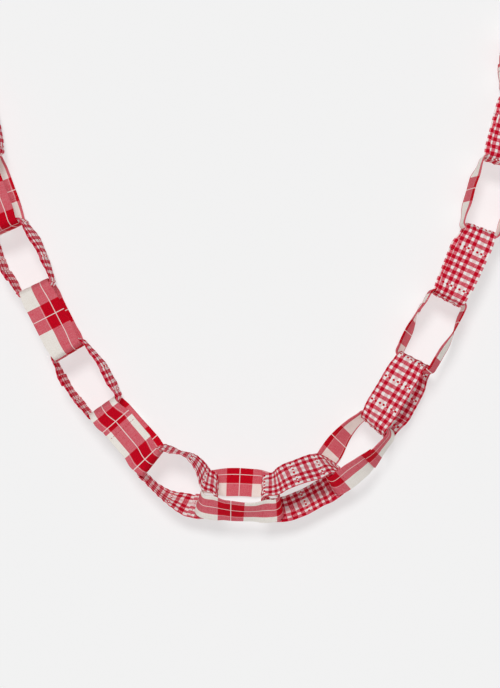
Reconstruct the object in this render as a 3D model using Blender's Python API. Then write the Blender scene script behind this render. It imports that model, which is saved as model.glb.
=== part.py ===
"""Chain garland of sixteen woven cotton links, lying in a swag on a flat surface.

Each link is one strip of folded cotton, bent into a loop and sewn where its ends lap. The links pass
through each other and alternate between a large check and a small gingham. Metres, +Z up: the surface
is z = 0, the swag runs left to right along +X and is open towards +Y, and the origin is at the bottom
centre of the whole garland's box.

The chain is worked out in chain space: s runs along the chain line, and every cross-section is turned
about that line by one smooth roll. Neighbouring links are a quarter turn apart, so they interlock
without touching, however the line bends and the roll changes.
"""

import math
from collections import namedtuple

import bpy
import numpy as np

# Strip
STRIP_WIDTH = 0.033
STRIP_THICKNESS = 0.0015
EDGE_CHAMFER = 0.0005
LAP_LENGTH = 0.010
LAP_THICKNESS = 0.0008

# Loop
BEND_RADIUS = 0.0050
SIDE_CLEARANCE = 0.0008
HALF_DEPTH = STRIP_WIDTH / 2 + STRIP_THICKNESS / 2 + SIDE_CLEARANCE

# Chain line
TURN_LENGTH = 0.026
TWIST_LENGTH = 0.032
TWIST_SHIFT = 0.004
SETTLE_LENGTH = 0.007
LINE_STEP = 0.0005

# Mesh stations
STATIONS_PER_BEND = 5
STATIONS_PER_END = 2
STATIONS_PER_SIDE = 11

# One row for each link, from the left end of the swag to the right:
#   cloth     woven pattern
#   length    outer length of the loop
#   heading   direction of the chain line along the link, degrees from +X
#   spacing   distance to the next link's centre
#   turn      where the line turns to the next link's heading, from their crossing
#   roll      roll of the chain where the link meets the next one, degrees
#   front     how far the upper band bows out at its middle
#   back      how far the lower band bows out at its middle
#   skew      how far the upper band slides along the link, and the lower band slides back
#   seam      place of the lap along the link, from its centre
#   seam_side +1 on the upper band, -1 on the lower band
Link = namedtuple("Link", "cloth length heading spacing turn roll front back skew seam seam_side")
LINKS = (
    Link("small_gingham", 0.076, -79, 0.0695, 0.0, 7, 0.0015, 0.0005, 0.0, -0.012, -1),
    Link("large_check", 0.076, -70, 0.0675, 0.0, 6, 0.0005, 0.0000, 0.0, 0.014, -1),
    Link("small_gingham", 0.077, -64, 0.0660, 0.0, 2, 0.0030, 0.0010, 0.0, 0.010, -1),
    Link("large_check", 0.074, -63, 0.0650, 0.0, 1, 0.0005, 0.0000, 0.0, -0.014, -1),
    Link("small_gingham", 0.077, -57, 0.0675, 0.0, 5, 0.0030, 0.0010, 0.0, -0.010, -1),
    Link("large_check", 0.075, -49, 0.0675, 0.0, 7, 0.0005, 0.0005, 0.0, -0.017, 1),
    Link("small_gingham", 0.078, -34, 0.0605, -0.008, 38, 0.0045, 0.0030, 0.0, 0.024, -1),
    Link("large_check", 0.077, -3, 0.0610, 0.008, 40, 0.0040, 0.0010, 0.0, 0.025, -1),
    Link("small_gingham", 0.079, 26, 0.0630, 0.0, 43, 0.0055, 0.0005, -0.0035, 0.025, -1),
    Link("large_check", 0.075, 46, 0.0665, 0.0, 68, 0.0015, 0.0030, -0.0015, 0.008, 1),
    Link("small_gingham", 0.078, 60, 0.0705, 0.0, 71, 0.0005, 0.0000, 0.0, -0.012, -1),
    Link("large_check", 0.078, 62, 0.0705, 0.0, 90, 0.0015, 0.0015, 0.0, 0.014, -1),
    Link("small_gingham", 0.077, 65, 0.0705, 0.0, 90, 0.0000, 0.0000, 0.0, 0.016, -1),
    Link("large_check", 0.078, 73, 0.0705, 0.0, 90, 0.0015, 0.0015, 0.0, -0.014, -1),
    Link("small_gingham", 0.077, 75, 0.0700, 0.0, 90, 0.0000, 0.0000, 0.0, 0.016, -1),
    Link("large_check", 0.078, 82, 0.0700, 0.0, 90, 0.0015, 0.0015, 0.0, -0.014, -1),
)
FIRST_ROLL = 7

CLOTH_COLOURS = {"large_check": (0.60, 0.09, 0.12, 1.0), "small_gingham": (0.68, 0.20, 0.24, 1.0)}
CLOTH_ROUGHNESS = 0.9


def ease(x):
    """Smooth step: 0 below 0, 1 above 1, with level ends."""
    x = np.clip(x, 0.0, 1.0)
    return x * x * (3.0 - 2.0 * x)


def eased_steps(s, values, places, width):
    """Values held along the line and eased from each to the next across width at each place."""
    result = np.full_like(s, float(values[0]))
    for place, before, after in zip(places, values[:-1], values[1:]):
        result += (after - before) * ease((s - place) / width + 0.5)
    return result


def link_centres():
    """Distance of each link's centre along the chain line, from the first one."""
    return np.concatenate([[0.0], np.cumsum([link.spacing for link in LINKS[:-1]])])


def quarter_turn(index):
    """Every other link is turned a quarter against the chain's roll."""
    return 0.0 if index % 2 else -math.pi / 2


def roll_at(s, centres):
    """Roll of the chain at s: it is steady where two links cross and eases along the middle of a link."""
    crossing_rolls = [FIRST_ROLL] + [link.roll for link in LINKS[:-1]] + [LINKS[-1].roll]
    return np.radians(eased_steps(s, crossing_rolls, centres + TWIST_SHIFT, TWIST_LENGTH))


def band_offset(x, link, side):
    """Distance of a band's middle layer from the chain line: flat, with a bow at its middle."""
    reach = link.length / 2 - STRIP_THICKNESS / 2 - 2 * BEND_RADIUS
    bow = link.front if side > 0 else link.back
    return HALF_DEPTH + bow * np.cos(np.clip(x / reach, -1.0, 1.0) * math.pi / 2) ** 2


def widest_near(values, cells):
    """Highest value within some cells of each one."""
    shifted = [np.roll(values, shift) for shift in range(-cells, cells + 1)]
    return np.max(shifted, axis=0)


def mean_near(values, cells):
    """Mean of the values within some cells of each one."""
    shifted = [np.roll(values, shift) for shift in range(-cells, cells + 1)]
    return np.mean(shifted, axis=0)


def chain_line(centres):
    """The chain line as samples of s, x, y, height and heading.

    The heading is steady along each link and eases to the next across their crossing; x and y are its
    integral. The height is the depth of the link below the line, so that each link rests at z = 0.
    """
    margin = 0.08
    s = np.arange(-margin, centres[-1] + margin, LINE_STEP)
    turns = (centres[:-1] + centres[1:]) / 2 + [link.turn for link in LINKS[:-1]]
    heading = np.radians(eased_steps(s, [link.heading for link in LINKS], turns, TURN_LENGTH))
    x = np.concatenate([[0.0], np.cumsum(np.cos(heading[:-1]) * LINE_STEP)])
    y = np.concatenate([[0.0], np.cumsum(np.sin(heading[:-1]) * LINE_STEP)])

    roll = roll_at(s, centres)
    depth = np.zeros_like(s)
    for index, (link, centre) in enumerate(zip(LINKS, centres)):
        turn = roll + quarter_turn(index)
        side = np.where(np.cos(turn) > 0, -1, 1)
        offset = np.where(side < 0, band_offset(s - centre, link, -1), band_offset(s - centre, link, 1))
        below = STRIP_WIDTH / 2 * np.abs(np.sin(turn)) + (offset + STRIP_THICKNESS / 2) * np.abs(np.cos(turn))
        depth = np.maximum(depth, np.where(np.abs(s - centre) <= link.length / 2, below, 0.0))
    cells = int(SETTLE_LENGTH / LINE_STEP)
    return s, x, y, mean_near(widest_near(depth, cells), cells), heading


def to_world(s, out, across, roll, line):
    """Carry chain-space points to the world.

    out is the distance in the loop's opening direction and across the distance along the strip's width:
    both directions lie in the plane square to the line, turned by the roll.
    """
    line_s, line_x, line_y, line_height, line_heading = line
    heading = np.interp(s, line_s, line_heading)
    level = np.cos(roll) * across - np.sin(roll) * out
    upright = np.sin(roll) * across + np.cos(roll) * out
    x = np.interp(s, line_s, line_x) - np.sin(heading) * level
    y = np.interp(s, line_s, line_y) + np.cos(heading) * level
    z = np.interp(s, line_s, line_height) + upright
    return np.stack([x, y, z], axis=-1)


def side_stations(link, side):
    """Places along one straight band, with extra ones at the two edges of the lap."""
    reach = link.length / 2 - STRIP_THICKNESS / 2 - BEND_RADIUS
    places = np.linspace(-reach, reach, STATIONS_PER_SIDE + 2)[1:-1]
    if link.seam_side == side:
        step = EDGE_CHAMFER
        half = LAP_LENGTH / 2
        edges = link.seam + np.array([-half - step, -half, half, half + step])
        clear = np.min(np.abs(places[:, None] - edges[None, :]), axis=1) > 2 * step
        places = np.sort(np.concatenate([places[clear], edges]))
    return places


def bend_stations(corner_x, corner_y, first_angle):
    """A quarter circle of the middle layer about one corner's centre."""
    angles = first_angle + np.linspace(0.0, math.pi / 2, STATIONS_PER_BEND)
    return corner_x + BEND_RADIUS * np.cos(angles), corner_y + BEND_RADIUS * np.sin(angles)


def loop_path(link):
    """The strip's middle layer round the loop, anticlockwise: x along the link, y out of the line."""
    corner_x = link.length / 2 - STRIP_THICKNESS / 2 - BEND_RADIUS
    corner_y = HALF_DEPTH - BEND_RADIUS
    end_x = corner_x + BEND_RADIUS
    end_y = np.linspace(-corner_y, corner_y, STATIONS_PER_END + 2)[1:-1]
    front_x = side_stations(link, 1)[::-1]
    back_x = side_stations(link, -1)
    pieces = [
        (np.full_like(end_y, end_x), end_y),
        bend_stations(corner_x, corner_y, 0.0),
        (front_x, band_offset(front_x, link, 1)),
        bend_stations(-corner_x, corner_y, math.pi / 2),
        (np.full_like(end_y, -end_x), -end_y),
        bend_stations(-corner_x, -corner_y, math.pi),
        (back_x, -band_offset(back_x, link, -1)),
        bend_stations(corner_x, -corner_y, 1.5 * math.pi),
    ]
    x = np.concatenate([piece[0] for piece in pieces])
    y = np.concatenate([piece[1] for piece in pieces])
    return x + link.skew * y / HALF_DEPTH, y


def lap_extra(x, y, link):
    """Extra thickness on the inside of the loop where the strip's two ends lie on each other."""
    on_side = np.sign(y) == link.seam_side
    on_lap = np.abs(x - link.seam) <= LAP_LENGTH / 2 + 1e-6
    clear_of_bends = np.abs(y) > HALF_DEPTH - 1e-6
    return np.where(on_side & on_lap & clear_of_bends, LAP_THICKNESS, 0.0)


def strip_section():
    """Corners of the strip's cross-section: distance out of the loop and distance across the width.

    The outer corners come first, then the inner ones; the folded edges are chamfered.
    """
    half_width = STRIP_WIDTH / 2
    half_thick = STRIP_THICKNESS / 2
    out = np.array([half_thick, half_thick, half_thick - EDGE_CHAMFER, EDGE_CHAMFER - half_thick,
                    -half_thick, -half_thick, EDGE_CHAMFER - half_thick, half_thick - EDGE_CHAMFER])
    across = np.array([EDGE_CHAMFER - half_width, half_width - EDGE_CHAMFER, half_width, half_width,
                       half_width - EDGE_CHAMFER, EDGE_CHAMFER - half_width, -half_width, -half_width])
    return out, across


def link_mesh(index, centre, centres, line):
    """Vertices and faces of one link: the section swept round the loop's path and closed on itself."""
    link = LINKS[index]
    path_x, path_y = loop_path(link)
    along_x = np.roll(path_x, -1) - np.roll(path_x, 1)
    along_y = np.roll(path_y, -1) - np.roll(path_y, 1)
    length = np.hypot(along_x, along_y)
    normal_x = along_y / length
    normal_y = -along_x / length

    out, across = strip_section()
    inner = (out < 0)[None, :]
    out = out[None, :] - np.where(inner, lap_extra(path_x, path_y, link)[:, None], 0.0)
    s = centre + path_x[:, None] + normal_x[:, None] * out
    offset = path_y[:, None] + normal_y[:, None] * out
    across = np.broadcast_to(across[None, :], offset.shape)
    roll = roll_at(s, centres) + quarter_turn(index)
    points = to_world(s, offset, across, roll, line)

    stations, corners = offset.shape
    ring = np.arange(stations)[:, None]
    corner = np.arange(corners)[None, :]
    next_ring = (ring + 1) % stations
    next_corner = (corner + 1) % corners
    faces = np.stack([
        ring * corners + corner,
        ring * corners + next_corner,
        next_ring * corners + next_corner,
        next_ring * corners + corner,
    ], axis=-1)
    return points.reshape(-1, 3), faces.reshape(-1, 4)


def cloth_material(cloth):
    """Plain cotton in the cloth's mean colour."""
    material = bpy.data.materials.get(cloth)
    if material is None:
        material = bpy.data.materials.new(cloth)
        material.use_nodes = True
        shader = material.node_tree.nodes["Principled BSDF"]
        shader.inputs["Base Color"].default_value = CLOTH_COLOURS[cloth]
        shader.inputs["Roughness"].default_value = CLOTH_ROUGHNESS
        shader.inputs["Metallic"].default_value = 0.0
        material.diffuse_color = CLOTH_COLOURS[cloth]
    return material


def add_link(name, points, faces, cloth, parent):
    """One named object, with its origin at the middle of its own box."""
    middle = (points.min(axis=0) + points.max(axis=0)) / 2
    mesh = bpy.data.meshes.new(name)
    mesh.from_pydata((points - middle).tolist(), [], faces.tolist())
    mesh.materials.append(cloth_material(cloth))
    mesh.shade_smooth()
    mesh.set_sharp_from_angle(angle=math.radians(35))
    link = bpy.data.objects.new(name, mesh)
    bpy.context.collection.objects.link(link)
    link.parent = parent
    link.location = middle


def main():
    for old in list(bpy.data.objects):
        bpy.data.objects.remove(old, do_unlink=True)

    centres = link_centres()
    line = chain_line(centres)
    meshes = [link_mesh(index, centre, centres, line) for index, centre in enumerate(centres)]
    everything = np.concatenate([points for points, faces in meshes])
    low = everything.min(axis=0)
    high = everything.max(axis=0)
    origin = np.array([(low[0] + high[0]) / 2, (low[1] + high[1]) / 2, low[2]])

    garland = bpy.data.objects.new("chain_garland", None)
    bpy.context.collection.objects.link(garland)
    for index, (link, (points, faces)) in enumerate(zip(LINKS, meshes)):
        name = f"{link.cloth}_link_{index // 2 + 1:02d}"
        add_link(name, points - origin, faces, link.cloth, garland)


main()
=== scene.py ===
"""Fabric chain garland: sixteen links of folded cotton in a swag, in a large check and a small gingham.

The chain is worked out in chain space. s runs along the chain line, and each cross-section is turned
about that line by one smooth roll. A link is one strip that goes once round its loop and laps over its
own start. Neighbouring links are a quarter turn apart, so they pass through each other.
"""

import math
from collections import namedtuple

import bpy
import numpy as np
from bpy.props import FloatProperty, FloatVectorProperty, IntProperty, PointerProperty
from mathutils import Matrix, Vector


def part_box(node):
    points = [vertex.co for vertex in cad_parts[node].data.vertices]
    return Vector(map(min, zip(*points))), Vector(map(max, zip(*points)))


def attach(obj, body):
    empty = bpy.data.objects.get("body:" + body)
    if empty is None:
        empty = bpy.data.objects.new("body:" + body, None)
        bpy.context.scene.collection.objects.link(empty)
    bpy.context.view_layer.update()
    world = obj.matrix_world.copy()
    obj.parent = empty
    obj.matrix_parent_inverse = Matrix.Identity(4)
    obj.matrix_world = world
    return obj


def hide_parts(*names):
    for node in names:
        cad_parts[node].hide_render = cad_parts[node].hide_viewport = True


bl_info = {
    "name": "Fabric chain garland",
    "version": (1, 0, 0),
    "blender": (4, 5, 0),
    "location": "3D View > Sidebar > Garland",
    "description": "A swag of folded cotton links in a large check and a small gingham",
    "category": "Add Mesh",
}

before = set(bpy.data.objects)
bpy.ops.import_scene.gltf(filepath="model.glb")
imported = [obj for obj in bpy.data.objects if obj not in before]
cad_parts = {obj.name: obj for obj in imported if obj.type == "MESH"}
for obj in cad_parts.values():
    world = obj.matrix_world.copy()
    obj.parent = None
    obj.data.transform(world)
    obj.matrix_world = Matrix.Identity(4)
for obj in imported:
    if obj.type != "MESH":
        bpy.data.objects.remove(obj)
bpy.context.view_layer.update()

MM = 0.001

# Loop, as the frame has it
STRIP_WIDTH = 0.033
STRIP_THICKNESS = 0.0015
SIDE_CLEARANCE = 0.0008
HALF_DEPTH = STRIP_WIDTH / 2 + STRIP_THICKNESS / 2 + SIDE_CLEARANCE
BEND_RADIUS = 0.0050

# Chain line
TURN_LENGTH = 0.026
TWIST_LENGTH = 0.032
TWIST_SHIFT = 0.004
SETTLE_LENGTH = 0.007
LINE_STEP = 0.0005
LINE_MARGIN = 0.08

# One row for each link, from the left end of the swag to the right:
#   cloth     woven pattern
#   length    outer length of the loop
#   heading   direction of the chain line along the link, degrees from +X
#   spacing   distance to the next link's centre
#   turn      where the line turns to the next link's heading, from their crossing
#   roll      roll of the chain where the link meets the next one, degrees
#   front     how far the upper band bows out at its middle
#   back      how far the lower band bows out at its middle
#   skew      how far the upper band slides along the link, and the lower band slides back
#   seam      place of the lap along the link, from its centre
#   seam_side +1 on the upper band, -1 on the lower band
Link = namedtuple("Link", "cloth length heading spacing turn roll front back skew seam seam_side")
LINKS = (
    Link("small_gingham", 0.076, -79, 0.0695, 0.0, 7, 0.0015, 0.0005, 0.0, -0.012, -1),
    Link("large_check", 0.076, -70, 0.0675, 0.0, 6, 0.0005, 0.0000, 0.0, 0.014, -1),
    Link("small_gingham", 0.077, -64, 0.0660, 0.0, 2, 0.0030, 0.0010, 0.0, 0.010, -1),
    Link("large_check", 0.074, -63, 0.0650, 0.0, 1, 0.0005, 0.0000, 0.0, -0.014, -1),
    Link("small_gingham", 0.077, -57, 0.0675, 0.0, 5, 0.0030, 0.0010, 0.0, -0.010, -1),
    Link("large_check", 0.075, -49, 0.0675, 0.0, 7, 0.0005, 0.0005, 0.0, -0.010, 1),
    Link("small_gingham", 0.078, -34, 0.0605, -0.008, 38, 0.0045, 0.0030, 0.0, 0.024, -1),
    Link("large_check", 0.077, -3, 0.0610, 0.008, 40, 0.0040, 0.0010, 0.0, 0.025, -1),
    Link("small_gingham", 0.079, 26, 0.0630, 0.0, 43, 0.0055, 0.0005, -0.0035, 0.025, -1),
    Link("large_check", 0.075, 46, 0.0665, 0.0, 68, 0.0015, 0.0030, -0.0015, 0.006, 1),
    Link("small_gingham", 0.078, 60, 0.0705, 0.0, 71, 0.0005, 0.0000, 0.0, -0.012, -1),
    Link("large_check", 0.078, 62, 0.0705, 0.0, 90, 0.0015, 0.0015, 0.0, 0.014, -1),
    Link("small_gingham", 0.077, 65, 0.0705, 0.0, 90, 0.0000, 0.0000, 0.0, 0.016, -1),
    Link("large_check", 0.078, 73, 0.0705, 0.0, 90, 0.0015, 0.0015, 0.0, -0.014, 1),
    Link("small_gingham", 0.077, 75, 0.0700, 0.0, 90, 0.0000, 0.0000, 0.0, 0.016, -1),
    Link("large_check", 0.078, 82, 0.0700, 0.0, 90, 0.0015, 0.0015, 0.0, -0.014, -1),
)
FIRST_ROLL = 7

# How each strip lies, in millimetres and degrees, with 0 for what isn't given:
#   weft         place along the cloth, from the upper band's middle towards the link's far end, where a
#                red weft stripe or a line of dots is centred; it may lie past the band's end
#   outer        place across the outer face where a red warp stripe, or the faint column, is centred
#   inner        the same on the inner face
#   take_near    how much pattern the near turn takes up, because the cloth is eased there
#   take_far     how much pattern the far turn takes up
#   lean_front   tilt of the upper band about its own middle line
#   lean_back    tilt of the lower band
#   drift_front  how far the upper band slides across the link
#   drift_back   how far the lower band slides across the link
#   slant_back   how much further it slides at the link's far end, and back at its near end
#   pinch        how much nearer the bands come to each other at the crossings
Lay = namedtuple(
    "Lay",
    "weft outer inner take_near take_far lean_front lean_back drift_front drift_back slant_back pinch",
    defaults=[0.0] * 11,
)
LAYS = (
    Lay(outer=-1.8, inner=-1.8, lean_front=1.0),
    Lay(weft=-17.6, outer=8.0, inner=24.0, take_near=17.0, take_far=-17.0),
    Lay(weft=8.0, outer=-1.8, inner=-1.8, pinch=1.4),
    Lay(
        weft=-2.9, outer=7.6, inner=7.0, take_near=3.0, take_far=-3.0,
        drift_front=0.5, drift_back=-1.0, pinch=0.3,
    ),
    Lay(outer=-1.8, inner=-1.8, pinch=1.4),
    Lay(weft=28.3, inner=20.5, take_far=-3.6, drift_front=2.4, pinch=0.3),
    Lay(weft=-4.0, inner=2.0, lean_front=-6.0, pinch=1.3),
    Lay(
        weft=-8.0, outer=2.0, inner=9.5, take_near=9.9, take_far=-9.9,
        lean_front=12.0, lean_back=9.0, pinch=0.8,
    ),
    Lay(outer=1.9, inner=-2.0, pinch=0.8),
    Lay(weft=-41.1, outer=8.7, inner=20.5, take_near=-5.8, take_far=-1.5, pinch=1.0),
    Lay(weft=10.5, outer=3.0, inner=3.3, drift_back=-2.5, pinch=0.3),
    Lay(weft=18.0, outer=20.5, inner=20.5, take_near=-7.2, take_far=7.2),
    Lay(weft=14.0, outer=-5.5, drift_back=1.0, slant_back=2.5, pinch=0.1),
    Lay(outer=20.5, inner=20.5, lean_back=-7.0, pinch=0.1),
    Lay(pinch=0.5),
    Lay(outer=20.5, inner=20.5, lean_back=-4.0, pinch=0.8),
)
# By link number, for the upper and the lower band, in millimetres: how much further the band bows out than
# in the frame, and how far its standing edge rolls out of the loop, or into it where it is below zero
EXTRA_BOW = {6: (3.0, 0.0), 7: (-1.0, 0.0)}
CURL = {0: (-2.0, 1.5), 2: (-2.6, 1.5), 4: (-3.4, 1.5)}
CURL_START, CURL_LENGTH = 0.005, 0.0115  # where the roll begins, from the middle line, and how wide it is
MIRRORED = (10,)  # links whose rows are the same both ways from the chosen line of dots
TAKE_LENGTH = 0.060  # how much of the strip each turn's take-up is spread over

# Round of each loop's two ends: length along the link and depth square to it. Then how much narrower the
# cloth is gathered there, in parts of its width, the depth of its pleats there, and of its slow waves
END_ROUND = {"large_check": (0.0060, 0.0085), "small_gingham": (0.0065, 0.0120)}
END_GATHER = {"large_check": 0.085, "small_gingham": 0.09}
PLEAT_DEPTH = {"large_check": 0.00012, "small_gingham": 0.00035}
FLUTTER = {"large_check": 0.00025, "small_gingham": 0.0004}
FREE_START, FREE_FADE = 0.013, 0.015  # from a link's middle: where its bands stop lying free
GATHER_START, GATHER_FADE = 0.020, 0.014  # where the gathering begins
PLEAT_START, PLEAT_FADE, PLEAT_PITCH = 0.018, 0.016, 0.0105
CLOTH_THICKNESS = 0.0012
SOFT_TWIST_LENGTH = 0.046  # cloth eases from one roll to the next over this length
LAYER_EASE = 0.010  # cloth rises from one layer of the lap to the other over this length
LAYER_GAP = 0.00003
FLOOR_GAP = 0.0002
EDGE_ANGLES = (14.0, 42.0, 68.0)  # points of the round on each folded edge

# Points along a bowed side, a corner and a straight end of the outline, before it is spaced evenly
SIDE_POINTS, CORNER_POINTS, END_POINTS = 160, 40, 20
OUTLINE_STEP = 0.00025
OUTLINE_SOFTENING = 5  # how many steps each way the outline is averaged over

# Raised dots of the gingham: thread, width in parts of the dot size, height, and shift in parts of a pitch
DOTS = {
    "dots": ("red_float_thread", 1.0, 0.0006, 0.0),
    "white_dots": ("white_float_thread", 0.62, 0.0007, 0.5),
}
DOT_LENGTH = 0.85  # in parts of its width
DOT_JITTER = 0.0002
DOT_EDGE_MARGIN, DOT_END_MARGIN = 0.0015, 0.002
DOT_SEARCH_STEP = 0.0001
STITCH_PITCH = 0.0030
STITCH_SIZE = (0.0019, 0.0005, 0.00035)
STITCH_BACK = 0.0078  # how far back from the end of the lap the stitches run
# A bead's foot, and its top as a part of half a turn of its round
BEAD_FOOT_DEPTH, BEAD_FOOT_SIZE, BEAD_TOP = 0.25, 0.9, 0.45


def length_setting(name, description, default):
    """A length that a user can change."""
    return FloatProperty(name=name, description=description, default=default, unit="LENGTH")


def colour_setting(name, description, default):
    """A colour with its own swatch."""
    return FloatVectorProperty(
        name=name, description=description, default=default, subtype="COLOR", size=3, min=0.0, max=1.0
    )


class GarlandSizes(bpy.types.PropertyGroup):
    """Sizes of the strips and of their woven patterns."""

    lap_length: length_setting("Lap", "How far a strip's end lies over its start", 0.010)
    mesh_step: length_setting("Mesh step", "Distance between mesh points round a loop", 0.0011)
    face_points: IntProperty(
        name="Face points", description="Mesh points across one face of a strip", default=29, min=9
    )
    pucker: length_setting("Pucker", "Depth of the gingham's puckers", 0.00035)
    check_red: length_setting("Check red, across", "Width of a red warp stripe", 0.0200)
    check_cream: length_setting("Check cream, across", "Width of a cream warp stripe", 0.0240)
    check_red_along: length_setting("Check red, along", "Length of a red weft stripe", 0.0250)
    check_cream_along: length_setting("Check cream, along", "Length of a cream weft stripe", 0.0276)
    gingham_pitch: length_setting("Gingham columns", "Distance between the gingham's columns", 0.0066)
    gingham_rows: length_setting("Gingham rows", "Distance between the gingham's rows", 0.00684)
    dot_pitch: length_setting("Dot pitch", "Distance between raised dots in a line", 0.0044)
    dot_size: length_setting("Dot size", "Width of a raised dot", 0.0027)


class GarlandColours(bpy.types.PropertyGroup):
    """Yarn and stage colours."""

    crimson: colour_setting("Crimson", "Red yarn over red yarn in the large check", (0.585, 0.0015, 0.014))
    rose: colour_setting("Rose", "Red yarn over cream yarn in the large check", (0.600, 0.088, 0.125))
    cream: colour_setting("Cream", "Undyed yarn of the large check", (0.835, 0.795, 0.748))
    gingham_red: colour_setting("Gingham red", "Red over red in the gingham", (0.575, 0.002, 0.020))
    gingham_rose: colour_setting("Gingham rose", "Red over white in the gingham", (0.650, 0.074, 0.120))
    gingham_white: colour_setting("Gingham white", "White yarn of the gingham", (0.880, 0.855, 0.830))
    floor: colour_setting("Floor", "Surface that the garland lies on", (0.420, 0.420, 0.420))


# ---------------------------------------------------------------- chain space


def ease(x):
    """Smooth step: 0 below 0, 1 above 1, with level ends."""
    x = np.clip(x, 0.0, 1.0)
    return x * x * (3.0 - 2.0 * x)


def eased_steps(s, values, places, width):
    """Values held along the line and eased from each to the next across width at each place."""
    result = np.full_like(s, float(values[0]))
    for place, before, after in zip(places, values[:-1], values[1:]):
        result += (after - before) * ease((s - place) / width + 0.5)
    return result


def link_centres():
    """Distance of each link's centre along the chain line, from the first one."""
    return np.concatenate([[0.0], np.cumsum([link.spacing for link in LINKS[:-1]])])


def quarter_turn(index):
    """Every other link is turned a quarter against the chain's roll."""
    return 0.0 if index % 2 else -math.pi / 2


def roll_at(s, centres, width):
    """Roll of the chain at s: steady where links cross, and eased over width about each link's middle."""
    crossing_rolls = [FIRST_ROLL] + [link.roll for link in LINKS[:-1]] + [LINKS[-1].roll]
    return np.radians(eased_steps(s, crossing_rolls, centres + TWIST_SHIFT, width))


def band_offset(x, link, side):
    """Distance of a band's middle layer from the chain line: flat, with a bow of cosine squared."""
    reach = link.length / 2 - STRIP_THICKNESS / 2 - 2 * BEND_RADIUS
    bow = np.where(side > 0, link.front, link.back)
    return HALF_DEPTH + bow * np.cos(np.clip(x / reach, -1.0, 1.0) * math.pi / 2) ** 2


def near(values, cells, combine):
    """Combine each value with those within some cells of it, and round the ends of the row."""
    return combine([np.roll(values, shift) for shift in range(-cells, cells + 1)], axis=0)


def chain_line(centres):
    """The chain line as samples of s, x, y, height and heading.

    The heading is steady along each link and eases to the next across their crossing; x and y are its
    integral. The height is the depth of the link below the line, so that each link rests on the floor.
    """
    s = np.arange(-LINE_MARGIN, centres[-1] + LINE_MARGIN, LINE_STEP)
    turns = (centres[:-1] + centres[1:]) / 2 + [link.turn for link in LINKS[:-1]]
    heading = np.radians(eased_steps(s, [link.heading for link in LINKS], turns, TURN_LENGTH))
    x = np.concatenate([[0.0], np.cumsum(np.cos(heading[:-1]) * LINE_STEP)])
    y = np.concatenate([[0.0], np.cumsum(np.sin(heading[:-1]) * LINE_STEP)])
    roll = roll_at(s, centres, TWIST_LENGTH)
    depth = np.zeros_like(s)
    for index, (link, centre) in enumerate(zip(LINKS, centres)):
        turn = roll + quarter_turn(index)
        offset = band_offset(s - centre, link, np.where(np.cos(turn) > 0, -1, 1))
        across, out = STRIP_WIDTH / 2, offset + STRIP_THICKNESS / 2
        below = across * np.abs(np.sin(turn)) + out * np.abs(np.cos(turn))
        depth = np.maximum(depth, np.where(np.abs(s - centre) <= link.length / 2, below, 0.0))
    cells = int(SETTLE_LENGTH / LINE_STEP)
    return s, x, y, near(near(depth, cells, np.max), cells, np.mean), heading


def to_world(s, out, across, roll, line):
    """Carry chain-space points to the world.

    out is the distance in the loop's opening direction and across the distance along the strip's width:
    both lie in the plane square to the line, turned by the roll.
    """
    line_s, line_x, line_y, line_height, line_heading = line
    heading = np.interp(s, line_s, line_heading)
    level = np.cos(roll) * across - np.sin(roll) * out
    upright = np.sin(roll) * across + np.cos(roll) * out
    x = np.interp(s, line_s, line_x) - np.sin(heading) * level
    y = np.interp(s, line_s, line_y) + np.cos(heading) * level
    z = np.interp(s, line_s, line_height) + upright
    return np.stack([x, y, z], axis=-1)


# ---------------------------------------------------------------- loops and strips


def loop_outline(link, end_round, pinch, extra=(0.0, 0.0)):
    """Closed curve of a strip's middle layer in the loop's plane: x along the link and y out of the line.

    Two bowed sides and two ends are joined by quarter ellipses. The points come out evenly spaced, with
    their distance round the loop, and start at the middle of the far end.
    """
    along, deep = end_round
    end_x = link.length / 2 - STRIP_THICKNESS / 2
    side_x = np.linspace(-(end_x - along), end_x - along, SIDE_POINTS)
    angle = np.linspace(0.0, math.pi / 2, CORNER_POINTS)
    half_end = END_POINTS // 2

    def side_y(x, side):
        """Distance from the line: the half depth less the pinch, plus a bow of cosine squared."""
        bow = link.front + extra[0] * MM if side > 0 else link.back + extra[1] * MM
        return HALF_DEPTH - pinch + (bow + pinch) * np.cos(x / end_x * math.pi / 2) ** 2

    corner_y = side_y(end_x - along, 1) - deep
    end_y = np.linspace(-corner_y, corner_y, END_POINTS)
    arc_x = end_x - along + along * np.cos(angle)
    arc_y = corner_y + deep * np.sin(angle)
    x = np.concatenate([
        end_y[half_end:] * 0 + end_x, arc_x[1:-1], side_x[::-1], -arc_x[::-1][1:-1],
        end_y * 0 - end_x, -arc_x[1:-1], side_x, arc_x[::-1][1:-1], end_y[:half_end] * 0 + end_x,
    ])
    y = np.concatenate([
        end_y[half_end:], arc_y[1:-1], side_y(side_x[::-1], 1), arc_y[::-1][1:-1],
        -end_y, -arc_y[1:-1], -side_y(side_x, -1), -arc_y[::-1][1:-1], end_y[:half_end],
    ])
    x = x + link.skew * y / HALF_DEPTH
    step = np.hypot(np.diff(x, append=x[0]), np.diff(y, append=y[0]))
    around = np.concatenate([[0.0], np.cumsum(step)])
    count = int(around[-1] / OUTLINE_STEP)
    even = np.linspace(0.0, around[-1], count, endpoint=False)
    x = np.interp(even, around, np.append(x, x[0]))
    y = np.interp(even, around, np.append(y, y[0]))
    x = near(x, OUTLINE_SOFTENING, np.mean)
    y = near(y, OUTLINE_SOFTENING, np.mean)
    return even, x, y, around[-1]


def place_on(outline, x_place, side):
    """Distance round the loop of the point of one band that is nearest to a place along the link."""
    even, x, y, _ = outline
    distance = np.abs(x - x_place) + np.where(np.sign(y) == side, 0.0, 1.0)
    return even[np.argmin(distance)]


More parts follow.
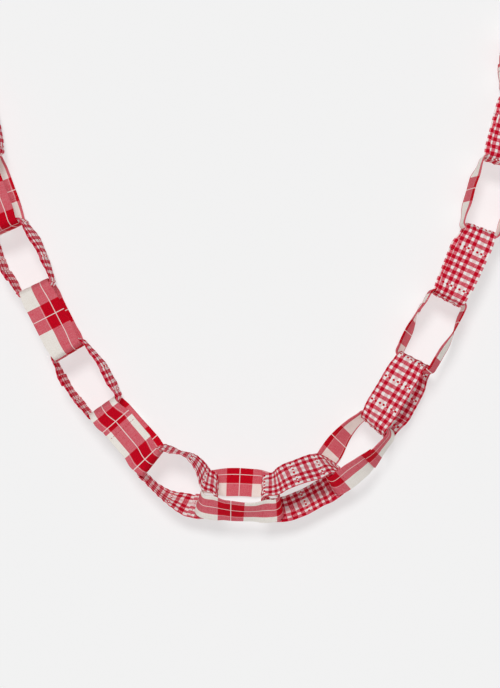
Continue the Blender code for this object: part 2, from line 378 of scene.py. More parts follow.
def around_loop(outline, place):
    """x, y and the outward normal at distances round the loop."""
    even, x, y, length = outline
    place = np.mod(place, length)
    turn_x = np.roll(x, -2) - np.roll(x, 2)
    turn_y = np.roll(y, -2) - np.roll(y, 2)
    scale = np.hypot(turn_x, turn_y)
    columns = (x, y, turn_y / scale, -turn_x / scale)
    return [np.interp(place, np.append(even, length), np.append(c, c[0])) for c in columns]


def strip_section(points, thickness):
    """Half of the strip's section, from edge to edge: place across and height above the middle layer.

    The height is half the thickness, and falls to nothing round each folded edge in a quarter circle.
    """
    half = thickness / 2
    angle = np.radians(EDGE_ANGLES)
    arc_v = half * (1.0 - np.cos(angle))
    arc_h = half * np.sin(angle)
    flat = np.linspace(half, STRIP_WIDTH - half, points)
    v = np.concatenate([arc_v, flat, STRIP_WIDTH - arc_v[::-1]]) - STRIP_WIDTH / 2
    h = np.concatenate([arc_h, np.full(points, half), arc_h[::-1]])
    return v, h


class Strip:
    """One link's strip: where each point of its cloth lies in the world."""

    def __init__(self, index, sizes):
        self.index = index
        self.link = LINKS[index]
        self.lay = LAYS[index]
        self.sizes = sizes
        self.centres = link_centres()
        self.line = chain_line(self.centres)
        extra = EXTRA_BOW.get(index, (0.0, 0.0))
        self.outline = loop_outline(self.link, END_ROUND[self.link.cloth], self.lay.pinch * MM, extra)
        self.length = self.outline[3]
        self.seam = place_on(self.outline, self.link.seam, self.link.seam_side)
        rng = np.random.default_rng(100 + index)
        self.phases = rng.uniform(0.0, 2 * math.pi, 12)
        self.origin = frame_origin(self.centres, self.line)

    def layer(self, u):
        """Offset of the strip from the loop's middle layer: its start lies inside its end at the lap."""
        lap = self.sizes.lap_length
        half = CLOTH_THICKNESS / 2 + LAYER_GAP
        start = 1.0 - ease((u - lap / 2) / LAYER_EASE)
        end = ease((u - (self.length - lap / 2 - LAYER_EASE)) / LAYER_EASE)
        return half * (end - start)

    def swell(self, u, v):
        """Height of the soft shape at a point: slow waves round the loop, pleats at its ends, pucker.

        The waves are sines of whole turns of the loop, scaled by the place across. The pleats are a
        cosine across the strip that wanders round the loop. The pucker is the product of a cosine of the
        columns and one of the rows.
        """
        cloth = self.link.cloth
        place = u + self.seam
        turn = 2 * math.pi * place / self.length
        x = around_loop(self.outline, place)[0]
        rel = v / (STRIP_WIDTH / 2)
        ph = self.phases
        first, second, third = (np.sin(waves * turn + phase) for waves, phase in zip((3, 5, 8), ph))
        flutter = FLUTTER[cloth] * (rel * first + rel ** 2 * second + 0.6 * rel * third)
        at_end = ease((np.abs(x) - PLEAT_START) / PLEAT_FADE)
        pleat_turn = 2 * math.pi * v / PLEAT_PITCH + ph[3] + 2.0 * np.sin(turn)
        height = flutter * (0.25 + 0.75 * self.free(x)) + PLEAT_DEPTH[cloth] * at_end * np.cos(pleat_turn)
        if cloth == "small_gingham":
            column = 2 * math.pi * (v - self.lay.outer * MM) / self.sizes.gingham_pitch
            row = 2 * math.pi * self.row_place(u) / self.sizes.gingham_rows
            wander = 0.5 * np.sin(11 * turn + ph[4] + 40 * v) + 0.5 * np.sin(17 * turn + ph[5] - 60 * v)
            height = height + self.sizes.pucker * (np.cos(column) * np.cos(row) + 0.5 * wander)
        return height

    def row_place(self, u):
        """Pattern coordinate along the strip, zero where the upper band's chosen stripe is centred.

        It is the distance from there, plus what the cloth takes up as it is eased round each turn. A
        mirrored strip's falls away both ways from there.
        """
        start = np.mod(place_on(self.outline, 0.0, 1) - self.lay.weft * MM - self.seam, self.length)
        turns = np.mod(np.array([self.length / 2, 0.0]) - self.seam, self.length)
        place = u - start
        for middle, take in zip(turns, (self.lay.take_near, self.lay.take_far)):
            here, there = (np.clip((at - middle) / TAKE_LENGTH + 0.5, 0.0, 1.0) for at in (u, start))
            place = place + take * MM * (here - there)
        return -np.abs(place) if self.index in MIRRORED else place

    def free(self, x):
        """1 along the middle of a band, falling to 0 where its neighbours pass through the link."""
        return 1.0 - ease((np.abs(x) - FREE_START) / FREE_FADE)

    def points(self, u, v, h):
        """World place of cloth points: u round the strip, v across it and h above its middle layer.

        The point is set off square to the loop's outline, tilted about the band's middle line by the
        band's lean, moved by its drift and its rolled edge, then carried to the world by the chain's roll
        and heading.
        """
        link, lay = self.link, self.lay
        x, y, nx, ny = around_loop(self.outline, u + self.seam)
        front = 0.5 + 0.5 * np.clip(y / HALF_DEPTH, -1.0, 1.0)
        free = self.free(x)
        lean = free * np.radians(lay.lean_back + (lay.lean_front - lay.lean_back) * ease(front))
        back = lay.drift_back + lay.slant_back * x / (link.length / 2)
        drift = free * MM * (back + (lay.drift_front - back) * ease(front))
        gathered = END_GATHER[link.cloth] * ease((np.abs(x) - GATHER_START) / GATHER_FADE)
        a = v * (1.0 - gathered)
        height = h + self.layer(u) + self.swell(u, v)
        curl_front, curl_back = CURL.get(self.index, (0.0, 0.0))
        rolled = np.clip((-a - CURL_START) / CURL_LENGTH, 0.0, 1.0) ** 2
        curl = free * MM * (curl_back + (curl_front - curl_back) * ease(front)) * rolled
        off = height * np.cos(lean) + a * np.sin(lean) + curl
        across = a * np.cos(lean) - height * np.sin(lean) + drift
        s = self.centres[self.index] + x + nx * off
        roll = roll_at(s, self.centres, SOFT_TWIST_LENGTH) + quarter_turn(self.index)
        world = to_world(s, y + ny * off, across, roll, self.line) - self.origin
        world[..., 2] = np.maximum(world[..., 2], FLOOR_GAP)
        return world


def frame_origin(centres, line):
    """Where the frame's origin is in the chain line's own coordinates.

    It is the mean distance between the middle of each plain loop's box and that of its frame node.
    """
    shifts = []
    for index, (link, centre) in enumerate(zip(LINKS, centres)):
        plain = loop_outline(link, (BEND_RADIUS, BEND_RADIUS), 0.0)
        x, y, nx, ny = around_loop(plain, np.arange(0, plain[3], MM))
        off = np.array([1, 1, -1, -1]) * STRIP_THICKNESS / 2
        across = np.array([1, -1, 1, -1]) * STRIP_WIDTH / 2
        s = centre + x[:, None] + nx[:, None] * off
        out = y[:, None] + ny[:, None] * off
        roll = roll_at(s, centres, TWIST_LENGTH) + quarter_turn(index)
        points = to_world(s, out, np.broadcast_to(across, s.shape), roll, line).reshape(-1, 3)
        low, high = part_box(link_name(index))
        middle = (points.min(axis=0) + points.max(axis=0)) / 2
        shifts.append(middle - (np.array(low) + np.array(high)) / 2)
    return np.mean(shifts, axis=0)


def link_name(index):
    """Name of a link's frame node."""
    return f"{LINKS[index].cloth}_link_{index // 2 + 1:02d}"


# ---------------------------------------------------------------- meshes


def signed_volume(points, faces):
    """Volume inside quads, positive when they face outwards."""
    a, b, c, d = (points[faces[:, k]] for k in range(4))
    first = np.einsum("ij,ij->i", a, np.cross(b, c))
    second = np.einsum("ij,ij->i", a, np.cross(c, d))
    return (first.sum() + second.sum()) / 6.0


def mesh_object(name, points, faces, corner_uv=None):
    """A smooth object with its place in its mesh, and its pattern coordinates in a map named cloth."""
    if signed_volume(points, faces) < 0:
        faces = faces[:, ::-1]
        corner_uv = None if corner_uv is None else corner_uv[:, ::-1]
    mesh = bpy.data.meshes.new(name)
    mesh.from_pydata(points.tolist(), [], faces.tolist())
    if corner_uv is not None:
        layer = mesh.uv_layers.new(name="cloth")
        layer.data.foreach_set("uv", corner_uv.reshape(-1).astype(np.float32))
    mesh.shade_smooth()
    mesh.update()
    piece = bpy.data.objects.new(name, mesh)
    bpy.context.scene.collection.objects.link(piece)
    return piece


def strip_object(strip):
    """The strip's closed skin: its section carried from the start of the strip to its end."""
    sizes = strip.sizes
    lap = sizes.lap_length
    count = int((strip.length + lap) / sizes.mesh_step)
    u = np.linspace(-lap / 2, strip.length + lap / 2, count)
    v, h = strip_section(sizes.face_points, CLOTH_THICKNESS)
    half = len(v)
    ring_v = np.concatenate([v, v[::-1]])
    ring_h = np.concatenate([h, -h[::-1]])
    points = strip.points(u[:, None], ring_v[None, :], ring_h[None, :])

    ring = np.arange(count - 1)[:, None]
    corner = np.arange(2 * half)[None, :]
    following = (corner + 1) % (2 * half)
    sides = np.stack(np.broadcast_arrays(
        ring * 2 * half + corner, ring * 2 * half + following,
        (ring + 1) * 2 * half + following, (ring + 1) * 2 * half + corner,
    ), axis=-1).reshape(-1, 4)
    rung = np.arange(half - 1)
    cap = np.stack([rung, 2 * half - 1 - rung, 2 * half - 2 - rung, rung + 1], axis=-1)
    far = cap[:, ::-1] + (count - 1) * 2 * half
    faces = np.concatenate([sides, cap, far])

    shift = np.where(np.arange(2 * half) < half, strip.lay.outer, strip.lay.inner) * MM
    across = ring_v - shift
    left = np.broadcast_to(across[None, :], (count - 1, 2 * half))
    right = np.roll(across, -1)
    right[half - 1] = across[half - 1]
    right[-1] = across[-1]
    right = np.broadcast_to(right[None, :], left.shape)
    along = strip.row_place(u)
    near_v = np.broadcast_to(along[:-1, None], left.shape)
    far_v = np.broadcast_to(along[1:, None], left.shape)
    side_uv = np.stack([
        np.stack([left, near_v], axis=-1), np.stack([right, near_v], axis=-1),
        np.stack([right, far_v], axis=-1), np.stack([left, far_v], axis=-1),
    ], axis=-2).reshape(-1, 4, 2)
    cap_across = across[cap]
    near_cap = np.stack([cap_across, np.full_like(cap_across, along[0])], axis=-1)
    far_cap = np.stack([cap_across[:, ::-1], np.full_like(cap_across, along[-1])], axis=-1)
    corner_uv = np.concatenate([side_uv, near_cap, far_cap])
    return mesh_object(f"{link_name(strip.index)}_band", points.reshape(-1, 3), faces, corner_uv)


def scattered(strip, u, v, side, shape):
    """Copies of one small closed shape set on a face of the strip.

    shape holds offsets across, along and above the cloth, and its faces; side is +1 outside the loop.
    """
    offsets, faces = shape
    at_u = u[:, None] + offsets[None, :, 1]
    at_v = v[:, None] + offsets[None, :, 0]
    height = side[:, None] * (CLOTH_THICKNESS / 2 + offsets[None, :, 2])
    points = strip.points(at_u, at_v, height)
    base = np.arange(len(u))[:, None, None] * len(offsets)
    return points.reshape(-1, 3), (faces[None] + base).reshape(-1, 4)


def bead(width, length, height, around=10, levels=3):
    """A low closed dome: ellipses that shrink with height, over a flat foot just under the cloth."""
    turn = np.linspace(0.0, 2 * math.pi, around, endpoint=False)
    climb = np.linspace(0.0, BEAD_TOP * math.pi, levels)
    rise = np.concatenate([[-BEAD_FOOT_DEPTH], np.sin(climb)])
    size = np.concatenate([[BEAD_FOOT_SIZE], np.cos(climb)])
    ring = np.stack([
        np.outer(size, np.cos(turn)) * width / 2, np.outer(size, np.sin(turn)) * length / 2,
        np.repeat(rise[:, None] * height, around, axis=1),
    ], axis=-1).reshape(-1, 3)
    row = np.arange(levels)[:, None] * around
    place = np.arange(around)[None, :]
    after = (place + 1) % around
    sides = np.stack([row + place, row + after, row + around + after, row + around + place], axis=-1)
    rung = np.arange(around // 2 - 1)
    foot = np.stack([rung, around - 1 - rung, around - 2 - rung, rung + 1], axis=-1)
    top = foot[:, ::-1] + levels * around
    return ring, np.concatenate([sides.reshape(-1, 4), foot, top])


def join_shapes(parts):
    """Points and faces of several meshes as one."""
    starts = np.cumsum([0] + [len(points) for points, _ in parts[:-1]])
    points = np.concatenate([points for points, _ in parts])
    faces = np.concatenate([faces + start for start, (_, faces) in zip(starts, parts)])
    return points, faces


# ---------------------------------------------------------------- materials


IN_MM = 1000.0
HALF_IN_MM = 500.0  # half of a length, in millimetres
COTTON_SPECULAR = 0.05
BUMP_STRENGTH = 0.6
YARN = 0.55  # distance between neighbouring yarns, in millimetres
RIB = 1.35  # distance between the gingham's thicker yarns, in millimetres
SLUB_ACROSS, SLUB_ALONG = 1.6, 0.12  # scales of the slubs' noise, square to the yarn and along it

# Large check, in millimetres: softness of the stripes' edges, half width and softness of the white line down
# each stripe's middle and of the faint line beside each warp stripe, and how far that lies outside it
CHECK_EDGE = 0.22
CHECK_LINE = (0.36, 0.14)
CHECK_BORDER = (0.2, 0.12)
BORDER_SHIFT = 0.9
LINE_STRENGTH, BORDER_STRENGTH = 0.85, 0.5

# Gingham: half widths of a column and of a row in parts of their pitches, the softness of their edges in
# millimetres, how much the faint column loses, and how far columns and rows wander
COLUMN_HALF, ROW_HALF = 0.285, 0.280
GINGHAM_EDGE = 0.14
FAINT_LOSS = 0.62
ROW_WANDER = 1.4
ROSE_COVER, RIB_STRENGTH = 0.93, 0.13

# The gingham's groups, in rows: from a line of dots to the middle of the group of three and to that of the
# group of five, and how far each group reaches from its own middle
DOTS_TO_THREE, DOTS_TO_FIVE = 1.857, 2.857
THREE_REACH, FIVE_REACH = 1.45, 2.45

THREAD_STREAKS = 2500.0
PAPER_TOOTH = 900.0


class Nodes:
    """Short calls for building a material's node tree."""

    def __init__(self, name):
        self.material = bpy.data.materials.new(name)
        self.material.use_nodes = True
        self.tree = self.material.node_tree
        self.shader = self.tree.nodes["Principled BSDF"]

    def link(self, value, socket):
        """Join an output to a socket, or set the socket to a plain value."""
        if isinstance(value, bpy.types.NodeSocket):
            self.tree.links.new(value, socket)
        else:
            socket.default_value = value

    def math(self, operation, a, b=0.0, c=0.0):
        """One Math node."""
        node = self.tree.nodes.new("ShaderNodeMath")
        node.operation = operation
        for value, socket in zip((a, b, c), node.inputs):
            self.link(value, socket)
        return node.outputs[0]

    def plus(self, a, b):
        """Sum of two numbers."""
        return self.math("ADD", a, b)

    def minus(self, a, b):
        """The first number less the second."""
        return self.math("SUBTRACT", a, b)

    def times(self, a, b):
        """Product of two numbers."""
        return self.math("MULTIPLY", a, b)

    def smooth(self, value, low, high, to_low=0.0, to_high=1.0):
        """Smooth step of a value between low and high."""
        node = self.tree.nodes.new("ShaderNodeMapRange")
        node.interpolation_type = "SMOOTHSTEP"
        for number, socket in zip((value, low, high, to_low, to_high), node.inputs):
            self.link(number, socket)
        return node.outputs[0]

    def mix(self, factor, a, b):
        """Mix two colours."""
        node = self.tree.nodes.new("ShaderNodeMix")
        node.data_type = "RGBA"
        self.link(factor, node.inputs[0])
        for value, socket in ((a, node.inputs[6]), (b, node.inputs[7])):
            self.link(value if isinstance(value, bpy.types.NodeSocket) else (*value, 1.0), socket)
        return node.outputs[2]

    def combine(self, x, y, z=0.0):
        """A vector from three numbers."""
        node = self.tree.nodes.new("ShaderNodeCombineXYZ")
        for value, socket in zip((x, y, z), node.inputs):
            self.link(value, socket)
        return node.outputs[0]

    def noise(self, vector, scale, detail=2.0, roughness=0.5):
        """Soft noise from 0 to 1."""
        node = self.tree.nodes.new("ShaderNodeTexNoise")
        self.link(vector, node.inputs["Vector"])
        node.inputs["Scale"].default_value = scale
        node.inputs["Detail"].default_value = detail
        node.inputs["Roughness"].default_value = roughness
        return node.outputs["Fac"]

    def cloth_place(self):
        """Pattern coordinates in millimetres: across the strip and along it."""
        source = self.tree.nodes.new("ShaderNodeUVMap")
        source.uv_map = "cloth"
        split = self.tree.nodes.new("ShaderNodeSeparateXYZ")
        self.tree.links.new(source.outputs[0], split.inputs[0])
        return [self.times(output, IN_MM) for output in split.outputs[:2]]

    def stripe(self, distance, half, soft):
        """1 within half of a stripe's centre and 0 outside it."""
        return self.smooth(distance, half - soft, half + soft, 1.0, 0.0)

    def finish(self, colour_socket, roughness, height, depth):
        """Cotton shader with its colour, its roughness and its bump."""
        shader = self.shader
        self.link(colour_socket, shader.inputs["Base Color"])
        self.link(roughness, shader.inputs["Roughness"])
        shader.inputs["Specular IOR Level"].default_value = COTTON_SPECULAR
        bump = self.tree.nodes.new("ShaderNodeBump")
        bump.inputs["Strength"].default_value = BUMP_STRENGTH
        bump.inputs["Distance"].default_value = depth
        self.link(height, bump.inputs["Height"])
        self.link(bump.outputs[0], shader.inputs["Normal"])
        return self.material


def weave(nodes, across, along):
    """Plain weave: which yarn is on top from -1 to 1, the yarns' relief, and their slubs.

    The yarn on top is the product of two sines, the relief that of their sizes, and the slubs are two
    noises drawn out along the yarns of each way.
    """
    pitch = math.pi / YARN
    wobble = nodes.noise(nodes.combine(across, along), 0.35)
    warp = nodes.math("SINE", nodes.times(nodes.plus(across, wobble), pitch))
    weft = nodes.math("SINE", nodes.times(nodes.plus(along, wobble), pitch))
    top = nodes.times(warp, weft)
    relief = nodes.times(nodes.math("ABSOLUTE", warp), nodes.math("ABSOLUTE", weft))

    def slub(across_scale, along_scale):
        """Noise drawn out where its scale is small."""
        drawn = (nodes.times(across, across_scale), nodes.times(along, along_scale))
        return nodes.noise(nodes.combine(*drawn), 1.0)

    both = nodes.plus(slub(SLUB_ACROSS, SLUB_ALONG), slub(SLUB_ALONG, SLUB_ACROSS))
    return top, relief, nodes.minus(both, 1.0)


def yarn_tones(nodes, speck, dark, light):
    """One yarn colour from its dark tone to its light one by the cloth's specks."""
    return nodes.mix(nodes.plus(speck, 0.5), dark, light)


def large_check_cloth(sizes, colours):
    """Yarn-dyed check: crimson where red crosses red, rose where it crosses cream, fine white lines."""
    nodes = Nodes("large_check_cotton")
    across, along = nodes.cloth_place()
    top, relief, slubs = weave(nodes, across, along)

    def stripes(place, red, cream):
        """Distance from the nearest red stripe's middle, and 1 on the stripe."""
        distance = nodes.math("PINGPONG", place, (red + cream) * HALF_IN_MM)
        return distance, nodes.stripe(distance, red * HALF_IN_MM, CHECK_EDGE)

    warp_distance, warp = stripes(across, sizes.check_red, sizes.check_cream)
    weft_distance, weft = stripes(along, sizes.check_red_along, sizes.check_cream_along)
    both = nodes.times(warp, weft)
    either = nodes.math("MAXIMUM", warp, weft)

    fleck = nodes.minus(nodes.noise(nodes.combine(across, along), 1.1, 1.0), 0.5)
    speck = nodes.plus(nodes.times(top, 0.12), nodes.times(slubs, 1.5))
    speck = nodes.plus(speck, nodes.times(fleck, 2.4))
    rose_dark = tuple(0.74 * c + 0.26 * d for c, d in zip(colours.rose, colours.crimson))
    rose_light = tuple(0.88 * c + 0.12 * d for c, d in zip(colours.rose, colours.cream))
    rose = yarn_tones(nodes, speck, rose_dark, rose_light)
    cream_shade = tuple(c * f for c, f in zip(colours.cream, (0.93, 0.90, 0.87)))
    cream = yarn_tones(nodes, speck, cream_shade, colours.cream)
    crimson = yarn_tones(nodes, speck, tuple(c * 0.72 for c in colours.crimson), colours.crimson)

    base = nodes.mix(either, cream, rose)
    base = nodes.mix(both, base, crimson)
    warp_line, weft_line = (
        nodes.times(nodes.stripe(distance, *CHECK_LINE), LINE_STRENGTH)
        for distance in (warp_distance, weft_distance)
    )
    beside = nodes.minus(warp_distance, sizes.check_red * HALF_IN_MM + BORDER_SHIFT)
    border = nodes.stripe(nodes.math("ABSOLUTE", beside), *CHECK_BORDER)
    faint_border = nodes.times(border, nodes.times(weft, BORDER_STRENGTH))
    base = nodes.mix(faint_border, base, colours.cream)
    base = nodes.mix(nodes.math("MAXIMUM", warp_line, weft_line), base, colours.cream)

    height = nodes.plus(relief, nodes.times(slubs, 0.8))
    roughness = nodes.smooth(slubs, -0.6, 0.6, 0.78, 0.94)
    return nodes.finish(base, roughness, height, 0.00022)


def row_distance(nodes, along, rows):
    """Distance from the nearest red row, in millimetres.

    Groups of three and of five rows take turns, with a line of dots in the wider gap between them. The
    pattern is the same both ways from the middle of each group, so one fold of the coordinate serves.
    """
    to_dots = DOTS_TO_THREE * rows
    half = to_dots + DOTS_TO_FIVE * rows
    fold = nodes.math("PINGPONG", nodes.plus(along, to_dots), half)
    other = nodes.minus(half, fold)

    def in_group(from_middle, reach):
        """Distance from the group's nearest row, or a whole pitch outside the group."""
        distance = nodes.math("PINGPONG", from_middle, rows / 2)
        inside = nodes.math("LESS_THAN", from_middle, reach * rows)
        outside = nodes.minus(1.0, inside)
        return nodes.plus(nodes.times(distance, inside), nodes.times(outside, rows))

    return nodes.math("MINIMUM", in_group(fold, THREE_REACH), in_group(other, FIVE_REACH))


def gingham_cloth(sizes, colours):
    """Small puckered gingham: red columns, every fifth one faint, and red rows in groups."""
    nodes = Nodes("small_gingham_cotton")
    across, along = nodes.cloth_place()
    top, relief, slubs = weave(nodes, across, along)
    pitch = sizes.gingham_pitch * IN_MM
    rows = sizes.gingham_rows * IN_MM

    wander = nodes.minus(nodes.noise(nodes.combine(across, along), 0.22), 0.5)
    shifted_across = nodes.plus(across, wander)
    shifted_along = nodes.plus(along, nodes.times(wander, ROW_WANDER))
    column_distance = nodes.math("PINGPONG", shifted_across, pitch / 2)
    column = nodes.stripe(column_distance, COLUMN_HALF * pitch, GINGHAM_EDGE)
    faint = nodes.stripe(nodes.math("PINGPONG", shifted_across, pitch * 2.5), pitch / 2, 0.1)
    kept = nodes.minus(1.0, nodes.times(faint, FAINT_LOSS))
    column = nodes.times(column, kept)
    row = nodes.stripe(row_distance(nodes, shifted_along, rows), ROW_HALF * rows, GINGHAM_EDGE)

    speck = nodes.plus(nodes.times(top, 0.12), nodes.times(slubs, 1.2))
    both = nodes.times(column, row)
    either = nodes.math("MAXIMUM", column, row)
    column_rib, row_rib = (
        nodes.math("SINE", nodes.times(place, 2 * math.pi / RIB))
        for place in (shifted_across, shifted_along)
    )
    rib = nodes.plus(nodes.times(column, column_rib), nodes.times(row, row_rib))
    fade = nodes.plus(nodes.times(speck, 0.5), nodes.times(rib, RIB_STRENGTH))
    faded = nodes.times(fade, either)
    either = nodes.plus(nodes.times(either, ROSE_COVER), faded)
    white_shade = tuple(c * f for c, f in zip(colours.gingham_white, (0.96, 0.93, 0.93)))
    white = yarn_tones(nodes, speck, white_shade, colours.gingham_white)
    red = yarn_tones(nodes, speck, tuple(c * 0.78 for c in colours.gingham_red), colours.gingham_red)
    base = nodes.mix(either, white, colours.gingham_rose)
    base = nodes.mix(both, base, red)

    height = nodes.plus(relief, nodes.times(slubs, 1.2))
    crepe = nodes.noise(nodes.combine(across, along), 0.9, 3.0, 0.6)
    height = nodes.plus(height, nodes.times(crepe, 2.0))
    roughness = nodes.smooth(slubs, -0.6, 0.6, 0.80, 0.95)
    return nodes.finish(base, roughness, height, 0.00030)


def thread_cloth(name, light, dark):
    """Twisted thread: fine streaks of a lighter and a darker tone of one colour."""
    nodes = Nodes(name)
    source = nodes.tree.nodes.new("ShaderNodeTexCoord")
    streaks = nodes.noise(source.outputs["Object"], THREAD_STREAKS, 3.0, 0.6)
    base = nodes.mix(nodes.smooth(streaks, 0.35, 0.65), dark, light)
    return nodes.finish(base, nodes.smooth(streaks, 0.3, 0.7, 0.75, 0.92), streaks, 0.0001)


def floor_paper(colours):
    """Pale matt backdrop paper with a faint tooth and a steady glow."""
    nodes = Nodes("backdrop_paper")
    source = nodes.tree.nodes.new("ShaderNodeTexCoord")
    tooth = nodes.noise(source.outputs["Object"], PAPER_TOOTH, 2.0)
    pale = tuple(colours.floor)
    shade = tuple(c * 0.99 for c in colours.floor)
    nodes.link(nodes.mix(tooth, shade, pale), nodes.shader.inputs["Base Color"])
    nodes.shader.inputs["Roughness"].default_value = 0.9
    nodes.shader.inputs["Specular IOR Level"].default_value = 0.0
    nodes.shader.inputs["Emission Color"].default_value = (1.0, 1.0, 1.0, 1.0)
    nodes.shader.inputs["Emission Strength"].default_value = FLOOR_GLOW
    return nodes.material


def get_material(context, name):
    """The named material, made once."""
    made = bpy.data.materials.get(name)
    if made is not None:
        return made
    sizes, colours = context.scene.garland_sizes, context.scene.garland_colours
    red = tuple(colours.gingham_red)
    makers = {
        "large_check_cotton": lambda: large_check_cloth(sizes, colours),
        "small_gingham_cotton": lambda: gingham_cloth(sizes, colours),
        "red_float_thread": lambda: thread_cloth(name, red, tuple(c * 0.7 for c in red)),
        "white_float_thread": lambda: thread_cloth(name, (0.88, 0.86, 0.84), (0.80, 0.76, 0.73)),
        "red_sewing_thread": lambda: thread_cloth(name, (0.55, 0.03, 0.06), (0.40, 0.01, 0.03)),
        "backdrop_paper": lambda: floor_paper(colours),
    }
    return makers[name]()


# ---------------------------------------------------------------- pieces


def dot_places(strip):
    """Distances round the strip of its lines of dots, clear of the strip's two ends.

    They are where the pattern's distance from the nearest line falls to its lowest.
    """
    rows = strip.sizes.gingham_rows
    lap = strip.sizes.lap_length
    u = np.arange(-lap / 2 + DOT_END_MARGIN, strip.length + lap / 2 - DOT_END_MARGIN, DOT_SEARCH_STEP)
    place = strip.row_place(u)
    period = 2 * (DOTS_TO_THREE + DOTS_TO_FIVE) * rows
    hits = []
    for line in (0.0, -2 * DOTS_TO_THREE * rows):
        distance = np.abs(np.mod(place - line + period / 2, period) - period / 2)
        here, before, after = distance[1:-1], distance[:-2], distance[2:]
        hits.append(u[1:-1][(here < 2 * DOT_SEARCH_STEP) & (here <= before) & (here < after)])
    return np.sort(np.concatenate(hits))


def dots_object(strip, name, size, height, shift):
    """Raised dots of thread in lines across the gingham, on both faces; shift is in parts of a pitch."""
    sizes = strip.sizes
    count = int((STRIP_WIDTH / 2 - DOT_EDGE_MARGIN) / sizes.dot_pitch)
    v_line = (np.arange(-count, count + 1 - math.ceil(shift)) + shift) * sizes.dot_pitch
    rng = np.random.default_rng(500 + strip.index)
    parts = []
    for side in (1.0, -1.0):
        u, v = np.meshgrid(dot_places(strip), v_line, indexing="ij")
        u = u.ravel() + rng.uniform(-DOT_JITTER, DOT_JITTER, u.size)
        v = v.ravel() + rng.uniform(-DOT_JITTER, DOT_JITTER, v.size)
        shape = bead(size, size * DOT_LENGTH, height)
        parts.append(scattered(strip, u, v, np.full(u.size, side), shape))
    points, faces = join_shapes(parts)
    return mesh_object(f"{link_name(strip.index)}_{name}", points, faces)


def stitches_object(strip):
    """A row of hand stitches across the lap, on both faces."""
    count = int(STRIP_WIDTH / STITCH_PITCH) - 1
    v = (np.arange(count) - (count - 1) / 2) * STITCH_PITCH
    shape = bead(*STITCH_SIZE)
    inner_u = np.full(count, strip.sizes.lap_length / 2 - STITCH_BACK)
    outer_u = inner_u + strip.length
    outer = scattered(strip, outer_u, v, np.full(count, 1.0), shape)
    inner = scattered(strip, inner_u, v, np.full(count, -1.0), shape)
    points, faces = join_shapes([outer, inner])
    return mesh_object(f"{link_name(strip.index)}_stitches", points, faces)


def dress(piece, material, slot):
    """Give a piece its material and its body."""
    piece.data.materials.append(material)
    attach(piece, "root")


def make_link(context, index):
    """One link: its band, its lap's stitches and, on the gingham, its raised dots."""
    cloth = LINKS[index].cloth
    strip = Strip(index, context.scene.garland_sizes)
    band = strip_object(strip)
    dress(band, get_material(context, f"{cloth}_cotton"), cloth)
    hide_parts(link_name(index))
    stitches = stitches_object(strip)
    dress(stitches, get_material(context, "red_sewing_thread"), cloth)
    if cloth == "small_gingham":
        for name, (thread, width, height, shift) in DOTS.items():
            dots = dots_object(strip, name, strip.sizes.dot_size * width, height, shift)
            dress(dots, get_material(context, thread), cloth)


class GARLAND_OT_check_links(bpy.types.Operator):
    """Make the eight links of large check cotton"""

    bl_idname = "garland.check_links"
    bl_label = "Large check links"

    def execute(self, context):
        for index in range(1, len(LINKS), 2):
            make_link(context, index)
        return {"FINISHED"}


class GARLAND_OT_gingham_links(bpy.types.Operator):
    """Make the eight links of small gingham cotton, with their raised dots"""

    bl_idname = "garland.gingham_links"
    bl_label = "Small gingham links"

    def execute(self, context):
        for index in range(0, len(LINKS), 2):
            make_link(context, index)
        return {"FINISHED"}


# ---------------------------------------------------------------- stage

FLOOR_GLOW = 0.451
WORLD_LIGHT = 0.21
KEY_LIGHT = 1.70
KEY_SPREAD = 0.30
KEY_DIRECTION = (0.13, -0.50, -0.85)
FILL_LIGHT = 1.05
FILL_DIRECTIONS = ((-0.70, 0.45, -0.55), (0.70, 0.45, -0.55))
FLOOR_HALF = 3.0
CAMERA_PLACE = (0.00137, -0.07304, 1.435)
CAMERA_LENS = 77.1
CAMERA_SENSOR = 36.0


def sun_light(context, name, energy, spread, direction, shadow):
    """A distant light that shines along direction; spread is how wide it looks from the floor."""
    data = bpy.data.lights.new(name, "SUN")
    data.energy = energy
    data.angle = spread
    data.use_shadow = shadow
    lamp = bpy.data.objects.new(name, data)
    lamp.rotation_euler = Vector(direction).to_track_quat("-Z", "Y").to_euler()
    context.scene.collection.objects.link(lamp)


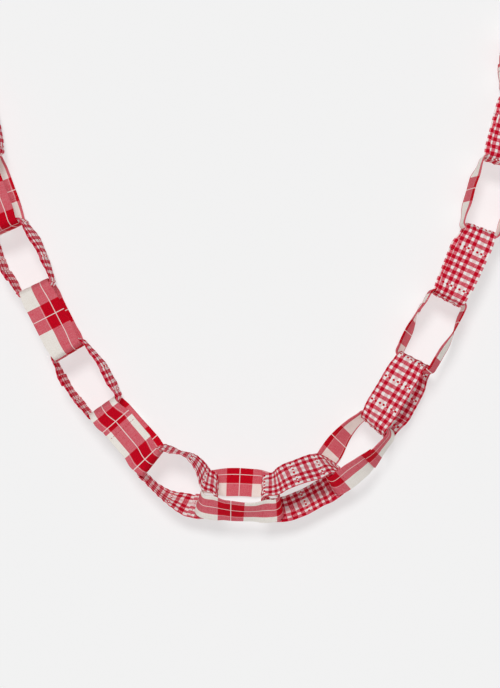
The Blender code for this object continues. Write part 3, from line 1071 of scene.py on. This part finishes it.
class GARLAND_OT_stage(bpy.types.Operator):
    """Make the floor, the soft studio light and the camera"""

    bl_idname = "garland.stage"
    bl_label = "Stage"

    def execute(self, context):
        corners = [(x * FLOOR_HALF, y * FLOOR_HALF, 0.0) for x, y in ((-1, -1), (1, -1), (1, 1), (-1, 1))]
        mesh = bpy.data.meshes.new("floor")
        mesh.from_pydata(corners, [], [(0, 1, 2, 3)])
        floor = bpy.data.objects.new("floor", mesh)
        context.scene.collection.objects.link(floor)
        floor.data.materials.append(get_material(context, "backdrop_paper"))

        world = bpy.data.worlds.new("studio")
        world.use_nodes = True
        backing = world.node_tree.nodes["Background"]
        backing.inputs["Color"].default_value = (1.0, 1.0, 1.0, 1.0)
        backing.inputs["Strength"].default_value = WORLD_LIGHT
        context.scene.world = world
        sun_light(context, "key_light", KEY_LIGHT, KEY_SPREAD, KEY_DIRECTION, True)
        for name, direction in zip(("right_fill_light", "left_fill_light"), FILL_DIRECTIONS):
            sun_light(context, name, FILL_LIGHT, KEY_SPREAD, direction, False)

        data = bpy.data.cameras.new("camera")
        data.sensor_width = CAMERA_SENSOR
        data.lens = CAMERA_LENS
        camera = bpy.data.objects.new("camera", data)
        camera.location = CAMERA_PLACE
        context.scene.collection.objects.link(camera)
        context.scene.camera = camera
        context.scene.view_settings.view_transform = "Standard"
        return {"FINISHED"}


class GARLAND_PT_panel(bpy.types.Panel):
    """Buttons and settings of the garland"""

    bl_label = "Fabric chain garland"
    bl_space_type = "VIEW_3D"
    bl_region_type = "UI"
    bl_category = "Garland"

    def draw(self, context):
        layout = self.layout
        for operator in OPERATORS:
            layout.operator(operator.bl_idname)
        for settings in (context.scene.garland_sizes, context.scene.garland_colours):
            box = layout.box()
            for name in settings.__annotations__:
                box.prop(settings, name)


OPERATORS = (GARLAND_OT_check_links, GARLAND_OT_gingham_links, GARLAND_OT_stage)
CLASSES = (GarlandSizes, GarlandColours, *OPERATORS, GARLAND_PT_panel)


def register():
    for each in CLASSES:
        bpy.utils.register_class(each)
    bpy.types.Scene.garland_sizes = PointerProperty(type=GarlandSizes)
    bpy.types.Scene.garland_colours = PointerProperty(type=GarlandColours)


def unregister():
    del bpy.types.Scene.garland_colours
    del bpy.types.Scene.garland_sizes
    for each in reversed(CLASSES):
        bpy.utils.unregister_class(each)


def main():
    register()
    bpy.ops.garland.check_links()
    bpy.ops.garland.gingham_links()
    bpy.ops.garland.stage()


if __name__ == "__main__":
    main()
